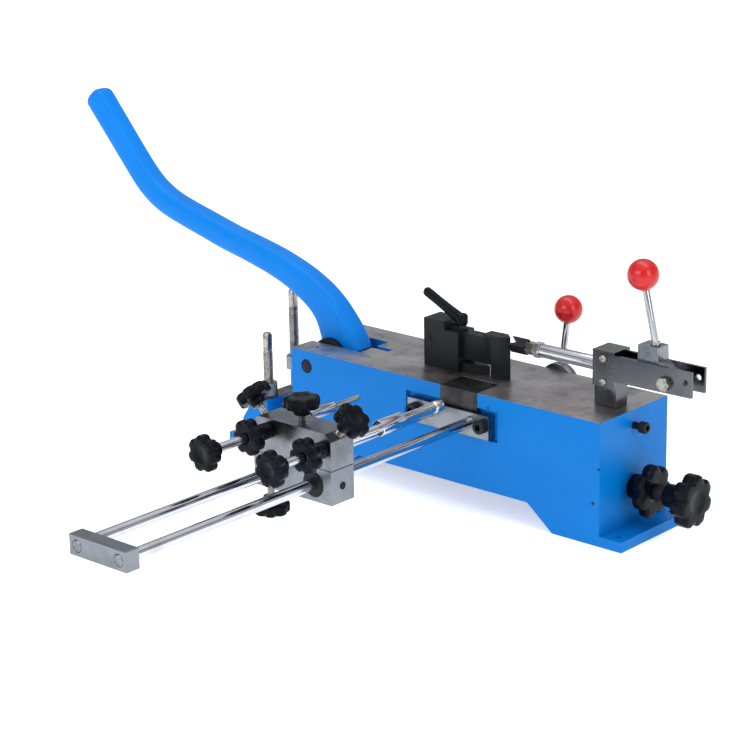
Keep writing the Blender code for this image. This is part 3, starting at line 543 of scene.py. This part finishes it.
def make_lever():
    """The hand lever, swept along its stations, with its hub, nose, washers and pin."""
    path = smooth_path(LEVER_STATIONS, 5)
    last, before = Vector(path[-1][:2]), Vector(path[-2][:2])
    run = (last - before).normalized()
    depth, width = path[-1][2:]
    for step in range(1, 9):
        angle = math.pi / 2 * step / 8
        spot = last + run * GRIP_ROUNDING * math.sin(angle)
        share = 0.28 + 0.72 * math.cos(angle)
        path.append([spot.x, spot.y, depth * share, width * share])
    work = bmesh.new()
    rings = []
    for index, (x, z, depth, width) in enumerate(path):
        back, ahead = path[max(index - 1, 0)], path[min(index + 1, len(path) - 1)]
        tangent = Vector((ahead[0] - back[0], ahead[1] - back[1])).normalized()
        across = Vector((-tangent.y, tangent.x))
        squareness = 4.6 - 1.3 * min(index / 40, 1)
        ring = []
        for a, b in superellipse(depth, width, 40, squareness):
            spot = Vector((x, z)) + across * a
            ring.append(work.verts.new((spot.x, b, spot.y)))
        rings.append(ring)
    join_rings(work, rings)
    lever = piece_from("main_lever_forging", work, (0, MID_Y, 0), angle=50)
    adopt(lever, "main_lever", finish=LEVER_PAINT)
    pivot = (PIVOT_X, MID_Y, PIVOT_Z)
    hub = turned(rounded_ends(HUB_RADIUS, -16.4, 16.4, 1.2))
    add_detail(piece_from("main_lever_hub", hub, pivot, TO_BACK), "main_lever", LEVER_PAINT)
    nose = turned(rounded_ends(NOSE_RADIUS, -15.4, 15.4, 0.8), 40)
    nose_piece = piece_from("main_lever_nose", nose, (NOSE_X, MID_Y, NOSE_Z), TO_BACK)
    add_detail(nose_piece, "main_lever", STEEL)
    ring = [(8.6, 0), (24.2, 0), (25, 0.8), (25, 6.9), (24.2, WASHER), (8.6, WASHER)]
    for node in ("pivot_washer_front", "pivot_washer_rear"):
        spot = middle(node)
        seat = (spot.x, spot.y - WASHER / 2, spot.z)
        washer = piece_from(f"{node}_ring", turned(ring, closed=True), seat, TO_BACK)
        adopt(washer, node, finish=OXIDE)
    pin = turned(rounded_ends(8.3, 0.4, 125.4, 1.1))
    pin_piece = piece_from("lever_pivot_pin_bar", pin, (PIVOT_X, 0, PIVOT_Z), TO_BACK)
    adopt(pin_piece, "lever_pivot_pin", finish=OXIDE)


def make_ram():
    """The ram, its guide and punch, and the coil of its return spring."""
    refined("ram_slide", STEEL, 0.5)
    refined("ram_guide", STEEL, 0.6)
    refined("punch_wedge", OXIDE, 0.35)
    low, high = span("ram_return_spring", X)
    start, end = low + SPRING_WIRE, high - SPRING_WIRE
    work = bmesh.new()
    rings = []
    for step in range(SPRING_STEPS + 1):
        share = step / SPRING_STEPS
        angle = 2 * math.pi * SPRING_TURNS * share
        out = Vector((0, math.cos(angle), math.sin(angle)))
        centre = Vector((start + (end - start) * share, 0, 0)) + out * SPRING_RADIUS
        ring = []
        for side in range(12):
            around = 2 * math.pi * side / 12
            along = Vector((SPRING_WIRE * math.sin(around), 0, 0))
            ring.append(work.verts.new(centre + out * SPRING_WIRE * math.cos(around) + along))
        rings.append(ring)
    join_rings(work, rings)
    coil = piece_from("ram_return_coil", work, (0, MID_Y, SPRING_Z))
    adopt(coil, "ram_return_spring", finish=ZINC)


# --- dies ------------------------------------------------------------------------------------


def socket_screw(name, node, origin, direction, head, shank, length, height, key):
    """A socket cap screw with a knurled head; its seat is at the origin."""
    profile = [(shank, -length), (shank, 0), (head - 0.5, 0), (head, 0.5)]
    profile += [(head, height - 1.2), (head - 0.35, height - 0.5), (head - 1.0, height)]

    def knurl(radius, angle, _):
        return radius - (0.22 * (0.5 + 0.5 * math.cos(36 * angle)) if radius > head - 0.1 else 0)

    screw = piece_from(name, turned(profile, 144, shape=knurl), origin, direction)
    mouth = Vector(origin) + Vector(direction).normalized() * (height * 0.42)
    carve(screw, piece_from(f"{name}_key", hexagon(key, height), mouth, direction, 20))
    screw.data.shade_smooth()
    screw.data.set_sharp_from_angle(angle=math.radians(32))
    if "screw" in node:
        adopt(screw, node, finish=OXIDE)
    else:
        add_detail(screw, node, OXIDE)


def make_dies():
    """The clamp block, bridge and V-head, and the small clamp lever on its screw."""
    for node in ("die_clamp_block", "die_bridge", "v_head"):
        refined(node, OXIDE, 0.45)
    spot = middle("die_clamp_screw")
    foot = (spot.x, spot.y, 0)
    stem = turned(thread(3.3, 46.8, 51.9, 1.0, 0.5), 40)
    adopt(piece_from("die_clamp_screw_thread", stem, foot), "die_clamp_screw", finish=ZINC)
    hub = piece_from("die_clamp_lever_hub", turned(CLAMP_HUB), foot, angle=60)
    adopt(hub, "die_clamp_lever", finish=PLASTIC)
    work = bmesh.new()
    rings = []
    for reach, rise, width, depth in CLAMP_ARM:
        ring = []
        for a, b in superellipse(depth, width, 24, 4.5):
            ring.append(work.verts.new((reach + 0.42 * a, b, rise + 0.9 * a)))
        rings.append(ring)
    join_rings(work, rings)
    arm = piece_from("die_clamp_lever_arm", work, foot, angle=60)
    add_detail(arm, "die_clamp_lever", PLASTIC)
    seat = (-279, 47.6, 34)
    socket_screw("die_block_set_screw", "die_clamp_block", seat, TO_FRONT, 2.6, 2.0, 1.5, 0.3, 1.3)


# --- toggle clamp ----------------------------------------------------------------------------


def cross_screw(name, node, origin, radius):
    """A pan-head screw with a cross recess, seated at the origin and facing the front."""
    profile = [(2.4, -8), (2.4, 0), (radius, 0), (radius, 0.7)]
    profile += [(radius * math.cos(a), 0.7 + 2.1 * math.sin(a)) for a in (0.35, 0.7, 1.0, 1.3, 1.5)]
    screw = piece_from(name, turned(profile, 48), origin, TO_FRONT, 50)
    slot_spot = Vector(origin) + Vector((0, -3.0, 0))
    for angle in (0.5, 0.5 + math.pi / 2):
        work = bmesh.new()
        bmesh.ops.create_cube(work, size=1.0)
        stretch = Matrix.Diagonal((radius * 1.3, 1.3, 3.6, 1.0))
        work.transform(Matrix.Rotation(angle, 4, "Z") @ stretch)
        carve(screw, piece_from(f"{name}_slot", work, slot_spot, TO_FRONT, 20))
    adopt(screw, node, finish=ZINC)


def hex_head(name, node, origin, direction, radius, height, finish, bore=None):
    """A hexagon with chamfered corners, its seat at the origin, crossed by a bore if given."""
    piece = piece_from(name, hexagon(radius, height), origin, direction, 20)
    past = height + 2
    cone = [
        (radius * 3, -1), (radius * 3, past), (radius * 0.84, past), (radius * 0.84, height),
        (radius * 1.04, height - 1.1), (radius * 1.04, -1),
    ]
    cutter = turned(cone, 64, closed=True)
    carve(piece, piece_from(f"{name}_chamfer", cutter, origin, direction))
    if bore:
        hole = turned([(bore, 0), (bore, past)], 48)
        hole_spot = Vector(origin) - Vector(direction).normalized()
        carve(piece, piece_from(f"{name}_bore", hole, hole_spot, direction))
    piece.data.shade_smooth()
    piece.data.set_sharp_from_angle(angle=math.radians(24))
    bevel(piece, 0.25, 2, 24)
    adopt(piece, node, finish=finish)


def ball(name, node, centre, radius, direction):
    """A ball knob, a little flat where its stem enters."""
    turns = [math.pi * i / 40 for i in range(1, 37)]
    arc = [(radius * math.sin(a), radius * math.cos(a)) for a in turns]
    foot = (5.2, arc[-1][1] - 0.5)
    piece = piece_from(name, turned([(0.4, radius), *arc, foot]), centre, direction, 60)
    adopt(piece, node, finish=RED)


def slanted(joint, top):
    """A joint's pivot, and the direction and length from it to a node in the swing plane."""
    pivot = pivot_of(joint)
    run = middle(top) - pivot
    run.y = 0
    return pivot, run.normalized(), run.length


def make_toggle():
    """The toggle clamp: guide block, side plates, pivot, and the lever with its ball."""
    refined("guide_block", PLATE, 0.5)
    refined("toggle_block", STEEL, 0.5)
    for node in ("side_plate_front", "side_plate_rear"):
        refined(node, PLATE, 0.3)
    for name in ("upper", "lower"):
        node = f"side_plate_screw_{name}"
        spot = middle(node)
        cross_screw(f"{node}_head", node, (spot.x, span(node, Y)[0] + 2.9, spot.z), 4.5)
    corner, head = 8.3, 5.7
    spot = middle("toggle_pivot_bolt")
    seat = (spot.x, span("toggle_pivot_bolt", Y)[0] + head, spot.z)
    hex_head("toggle_pivot_bolt_head", "toggle_pivot_bolt", seat, TO_FRONT, corner, head, ZINC)
    shank = turned(rounded_ends(4.0, -0.5, 35.5, 0.6), 40)
    add_detail(piece_from("toggle_pivot_shank", shank, seat, TO_BACK), "toggle_pivot_bolt", ZINC)
    nut = middle("toggle_pivot_nut")
    seat = (nut.x, nut.y - 3, nut.z)
    hex_head("toggle_pivot_nut_hex", "toggle_pivot_nut", seat, TO_BACK, corner, 6, ZINC, 4.2)
    rod_low, rod_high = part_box("toggle_rod")
    ball_spot = middle("toggle_ball")
    rod_spot = middle("toggle_rod")
    run = (ball_spot - rod_spot).normalized()
    length = (rod_high - rod_low).length / MM
    stem = turned(rounded_ends(BALL_STEM, -length / 2 + 2, length / 2 - 2, 0.5), 48)
    adopt(piece_from("toggle_rod_bar", stem, rod_spot, run), "toggle_rod", finish=STEM)
    ball("toggle_ball_knob", "toggle_ball", ball_spot, TOGGLE_BALL, run)
    collar = turned([(4.2, 0), (5.6, 0.4), (5.6, 2.6), (4.6, 3.6), (4.1, 3.6)], 40)
    block_top = span("toggle_block", Z)[1]
    foot = rod_spot + run * ((block_top - rod_spot.z) / run.z)
    add_detail(piece_from("toggle_rod_collar", collar, foot, run), "toggle_block", ZINC)


def make_push_rod():
    """The push rod with its stub end, its locknut, and the V-head's screw and hex collar."""
    start, end = span("push_rod", X)
    spot = middle("push_rod")
    length = end - start
    profile = rounded_ends(8.0, 0, length - 9, 0.8)[:-1]
    profile += [
        (7.2, length - 9), (4.4, length - 8.6), (4.0, length - 8), (4.0, length - 1.4),
        (3.2, length - 0.3), (0.5, length),
    ]
    bar = piece_from("push_rod_bar", turned(profile), (start, spot.y, spot.z), TO_RIGHT)
    adopt(bar, "push_rod", finish=ROD)
    nut = middle("adjuster_locknut")
    seat = (nut.x - 4.3, nut.y, nut.z)
    hex_head("adjuster_locknut_hex", "adjuster_locknut", seat, TO_RIGHT, 9.6, 8.6, ROD, 5.2)
    head = (V_HEAD_X, spot.y, spot.z)
    screw = turned(thread(5.3, 10, 24, 1.25, 0.6), 48)
    add_detail(piece_from("v_head_thread", screw, head, TO_RIGHT), "v_head", BROWN)
    collar = turned([(7.6, -0.6), (7.9, 0), (7.9, 9.4), (7.4, 10.2), (5.4, 10.2)], 6)
    collar_piece = piece_from("v_head_hex", collar, head, TO_RIGHT, 20)
    add_detail(bevel(collar_piece, 0.3), "v_head", BROWN)


# --- knobs -----------------------------------------------------------------------------------


def star(radius):
    """Seven rounded lobes parted by narrow flutes, fading out towards the hub."""
    def shape(out, angle, _):
        share = max(0.0, min(1.0, (out / radius - 0.62) / 0.3))
        flute = (0.5 + 0.5 * math.cos(LOBES * angle)) ** 2.2
        return out - radius * 0.17 * flute * share
    return shape


def knob(name, node, base, direction, radius, hub_radius, hub, disc, bore=None, turn=0.0):
    """A star knob: a tapered hub from the base, then the lobed disc with a dished face."""
    top = hub + disc
    profile = [
        (hub_radius * 0.92, 0), (hub_radius * 0.98, 0.5), (hub_radius, 1.5),
        (hub_radius * 1.06, hub * 0.7), (hub_radius * 1.2, hub - 0.6),
        (radius * 0.66, hub), (radius * 0.88, hub + 0.2), (radius * 0.96, hub + 1.0),
        (radius, hub + 2.6), (radius, top - 4.2), (radius * 0.985, top - 2.4),
        (radius * 0.94, top - 1.1), (radius * 0.86, top - 0.25), (radius * 0.74, top),
        (radius * 0.5, top - 0.2),
    ]
    if bore:
        profile = [(bore, 0.3), *profile, (bore + 0.8, top - 0.4), (bore, top - 1.2)]
    else:
        profile += [(radius * 0.40, top - 0.5), (radius * 0.36, top - 1.1), (radius * 0.05, top - 1.3)]
    work = turned(profile, LOBES * 20, closed=bool(bore), shape=star(radius))
    work.transform(Matrix.Rotation(turn, 4, "Z"))
    piece = piece_from(name, work, base, direction, 60)
    adopt(piece, node, finish=PLASTIC)


def make_spindle():
    """The end adjuster's spindle and its two star knobs, and the end cap screw."""
    spot = middle("stop_spindle")
    bar = turned(rounded_ends(8.0, -58, 45.6, 1.0))
    bar_piece = piece_from("stop_spindle_bar", bar, (0, spot.y, spot.z), TO_RIGHT)
    adopt(bar_piece, "stop_spindle", finish=OXIDE)
    jam, end = (0.6, spot.y, spot.z), (46, spot.y, spot.z)
    knob("spindle_jam_star", "spindle_jam_knob", jam, TO_RIGHT, END_STAR, 14, 17.4, 14, 8.3, 0.3)
    knob("spindle_end_star", "spindle_end_knob", end, TO_RIGHT, END_STAR, 13, 22, 18, None, 0.1)
    screw = middle("end_cap_screw")
    seat = (9, screw.y, screw.z)
    socket_screw("end_cap_screw_head", "end_cap_screw", seat, TO_RIGHT, 6.6, 4.0, 22, 9, 3.6)


def make_rear_lock():
    """The rear lock's disc on its short shaft, and the lever with its ball."""
    pivot, run, length = slanted("lock_swing", "lock_lever_ball")
    start = span("lock_cam_shaft", Y)[0]
    seat = (pivot.x, start, pivot.z)
    disc = piece_from("lock_cam_disc", turned(LOCK_DISC, 96), seat, TO_BACK)
    adopt(disc, "lock_cam_shaft", finish=STEEL)
    centre = Vector((pivot.x, middle("lock_lever_rod").y, pivot.z))
    stem = turned(rounded_ends(BALL_STEM, 12.5, length - 10, 0.5), 48)
    adopt(piece_from("lock_lever_stem", stem, centre, run), "lock_lever_rod", finish=STEM)
    ball("lock_lever_knob", "lock_lever_ball", centre + run * length, LOCK_BALL, run)


# --- gauge -----------------------------------------------------------------------------------


def make_gauge():
    """The bracket, the two guide rods with their bushes, and the end bar."""
    refined("gauge_bracket", STEEL, 0.4)
    refined("gauge_end_bar", STEEL, 0.7, 3)
    for name in ("left", "right"):
        node = f"gauge_rod_{name}"
        low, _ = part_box(node)
        start, end = span(node, Y)
        spot = middle(node)
        profile = [(1.0, start + 0.5), (4.2, start + 0.45), (4.5, start), (5.5, start)]
        profile += [(GAUGE_ROD, start + 0.6), *rounded_ends(GAUGE_ROD, start, end, 0.7)[4:]]
        bar = piece_from(f"{node}_bar", turned(profile), (spot.x, 0, spot.z), TO_BACK)
        adopt(bar, node, finish=ROD)
        bar.data.materials.append(STEEL)
        for face in bar.data.polygons:
            if face.center.y < low.y + 0.8 * MM:
                face.material_index = 1
        screw_node = f"bracket_screw_{name}"
        screw = middle(screw_node)
        seat = (screw.x, -6.3, screw.z)
        socket_screw(f"{screw_node}_head", screw_node, seat, TO_FRONT, 8.0, 4.0, 11, 9, 4.2)
        bush_node = f"rod_bush_{name}"
        ring = turned(ROD_BUSH, closed=True)
        bush = piece_from(f"{bush_node}_ring", ring, middle(bush_node), TO_BACK)
        adopt(bush, bush_node, finish=OXIDE)


def carriage_knob(node, base, out, reach, turn):
    """One of the carriage's star knobs, and the threaded stem it turns on."""
    knob(node.replace("knob", "star"), node, base, out, GAUGE_STAR, 9, 7, 13, None, turn)
    profile = thread(4.0, -reach, -0.5, 1.25, 0.65) + [(4.0, 0.6)]
    stem = piece_from(node.replace("knob", "screw"), turned(profile, 40), base, out)
    add_detail(stem, node, ZINC)


def make_carriage():
    """The split carriage with its side screw, three clamp knobs and lock knob."""
    for node in ("carriage_upper", "carriage_lower"):
        refined(node, STEEL, 0.6, 3)
    side = (span("carriage_lower", X)[1], -247.5, -34)
    socket_screw("carriage_side_screw", "carriage_lower", side, TO_RIGHT, 4.2, 3.0, 3, 0.35, 2.2)
    top = (pivot_of("clamp_top_turn").x, CARRIAGE_Y, span("carriage_upper", Z)[1] + 7.5)
    carriage_knob("clamp_knob_top", top, UPWARD, 18, 0.2)
    for name in ("left", "right"):
        joint = f"clamp_{name}_turn"
        out = Vector(JOINTS[joint]["axis"]).normalized()
        carriage_knob(f"clamp_knob_{name}", pivot_of(joint) + out * 13, out, 19, 0.15)
    lock = pivot_of("carriage_lock_turn")
    below = (lock.x, lock.y, span("carriage_lower", Z)[0] - 17)
    carriage_knob("carriage_lock_knob", below, DOWNWARD, 20, 0.0)


def make_stops():
    """The two stop rods, each with a star knob on its end and a jam knob at the carriage."""
    front = span("carriage_upper", Y)[0] - 0.4
    for name, end_y, jam_hub, profile in (
        ("left", -340.3, 22.0, LEFT_STOP),
        ("right", -323.3, 19.0, RIGHT_STOP),
    ):
        node = f"stop_rod_{name}"
        spot = middle(node)
        bar = piece_from(f"{node}_bar", turned(profile, 56), (spot.x, 0, spot.z), TO_BACK)
        adopt(bar, node, finish=ROD)
        end, jam = (spot.x, end_y, spot.z), (spot.x, front, spot.z)
        star, ring = f"stop_star_{name}", f"jam_star_{name}"
        knob(star, f"stop_knob_{name}", end, TO_FRONT, GAUGE_STAR, 8.5, 11.7, 13, None, 0.35)
        knob(ring, f"jam_knob_{name}", jam, TO_FRONT, GAUGE_STAR, 9, jam_hub, 12, 5.3, 0.1)


# --- stop studs ------------------------------------------------------------------------------


def make_studs():
    """The two threaded studs at the left, flattened on top, each with its nut."""
    for name in ("front", "rear"):
        node = f"stop_stud_{name}"
        spot = middle(node)
        bottom, top = span(node, Z)
        profile = [(5.2, bottom)] + thread(6.0, bottom + 0.5, top - 22, 1.75, 0.8)
        profile += [(5.8, top - 21), (5.8, top - 3.4), (4.6, top - 1.0)]
        profile += [(3.0, top - 0.2), (0.5, top)]

        def flats(radius, angle, height, top=top):
            if height < top - 21.5:
                return radius
            return min(radius, 4.5 / max(abs(math.cos(angle)), 0.1))

        bar = turned(profile, 64, shape=flats)
        adopt(piece_from(f"{node}_bar", bar, (spot.x, spot.y, 0)), node, finish=ZINC)
        nut_node = f"stop_nut_{name}"
        base = (spot.x, spot.y, span(nut_node, Z)[0])
        hex_head(f"{nut_node}_hex", nut_node, base, UPWARD, 11.0, 17.0, STEEL, 6.2)


# --- stage -----------------------------------------------------------------------------------


def area_light(name, spot, size, power):
    """A rectangular light aimed at the part."""
    data = bpy.data.lights.new(name, "AREA")
    data.shape = "RECTANGLE"
    data.size, data.size_y = size
    data.energy = power
    light = bpy.data.objects.new(name, data)
    bpy.context.collection.objects.link(light)
    light.location = spot
    light.rotation_euler = (Vector(AIM) - Vector(spot)).to_track_quat("-Z", "Y").to_euler()


def make_world():
    """Surroundings graded by height, with a bright band at the horizon."""
    world = bpy.data.worlds.new("studio")
    bpy.context.scene.world = world
    world.use_nodes = True
    tree = world.node_tree
    background = tree.nodes["Background"]
    background.inputs["Strength"].default_value = 0.8
    coordinates = tree.nodes.new("ShaderNodeTexCoord")
    split = tree.nodes.new("ShaderNodeSeparateXYZ")
    ramp = tree.nodes.new("ShaderNodeValToRGB")
    tree.links.new(coordinates.outputs["Generated"], split.inputs[0])
    lift = tree.nodes.new("ShaderNodeMapRange")
    lift.inputs["From Min"].default_value = -1
    tree.links.new(split.outputs["Z"], lift.inputs["Value"])
    tree.links.new(lift.outputs["Result"], ramp.inputs["Fac"])
    ramp.color_ramp.elements[0].position = SURROUNDINGS[0][0]
    ramp.color_ramp.elements[1].position = SURROUNDINGS[-1][0]
    for place, _ in SURROUNDINGS[1:-1]:
        ramp.color_ramp.elements.new(place)
    for element, (_, grey) in zip(ramp.color_ramp.elements, SURROUNDINGS):
        element.color = (grey, grey, grey * 1.03, 1)
    tree.links.new(ramp.outputs["Color"], background.inputs["Color"])


def make_stage():
    """The pale floor, the surroundings and the lights."""
    bpy.context.scene.view_settings.view_transform = "Standard"
    work = bmesh.new()
    bmesh.ops.create_grid(work, x_segments=2, y_segments=2, size=30.0)
    mesh = bpy.data.meshes.new("floor")
    work.to_mesh(mesh)
    work.free()
    floor = bpy.data.objects.new("floor", mesh)
    bpy.context.collection.objects.link(floor)
    floor.location.z = -0.0005
    paper = Finish("pale_floor", (0.92, 0.92, 0.925), 0.75)
    paper.bump(paper.noise(40, 3), 0.0002, 0.1)
    paper.shader.inputs["Emission Color"].default_value = (1, 1, 1, 1)
    paper.shader.inputs["Emission Strength"].default_value = 0.5
    floor.data.materials.append(paper.material)
    make_world()
    for name, spot, size, power in LIGHTS:
        area_light(name, spot, size, power)


def make_camera():
    """The photo's camera."""
    data = bpy.data.cameras.new("camera")
    data.lens = 114.0
    data.sensor_width = 36.0
    data.clip_end = 100.0
    camera = bpy.data.objects.new("camera", data)
    bpy.context.collection.objects.link(camera)
    pose = Matrix((CAMERA_RIGHT, CAMERA_UP, CAMERA_BACK)).transposed().to_4x4()
    pose.translation = station(*CAMERA_STATION)
    camera.matrix_world = pose
    bpy.context.scene.camera = camera


make_camera()
make_stage()
make_body()
make_lever()
make_ram()
make_dies()
make_toggle()
make_push_rod()
make_spindle()
make_rear_lock()
make_gauge()
make_carriage()
make_stops()
make_studs()
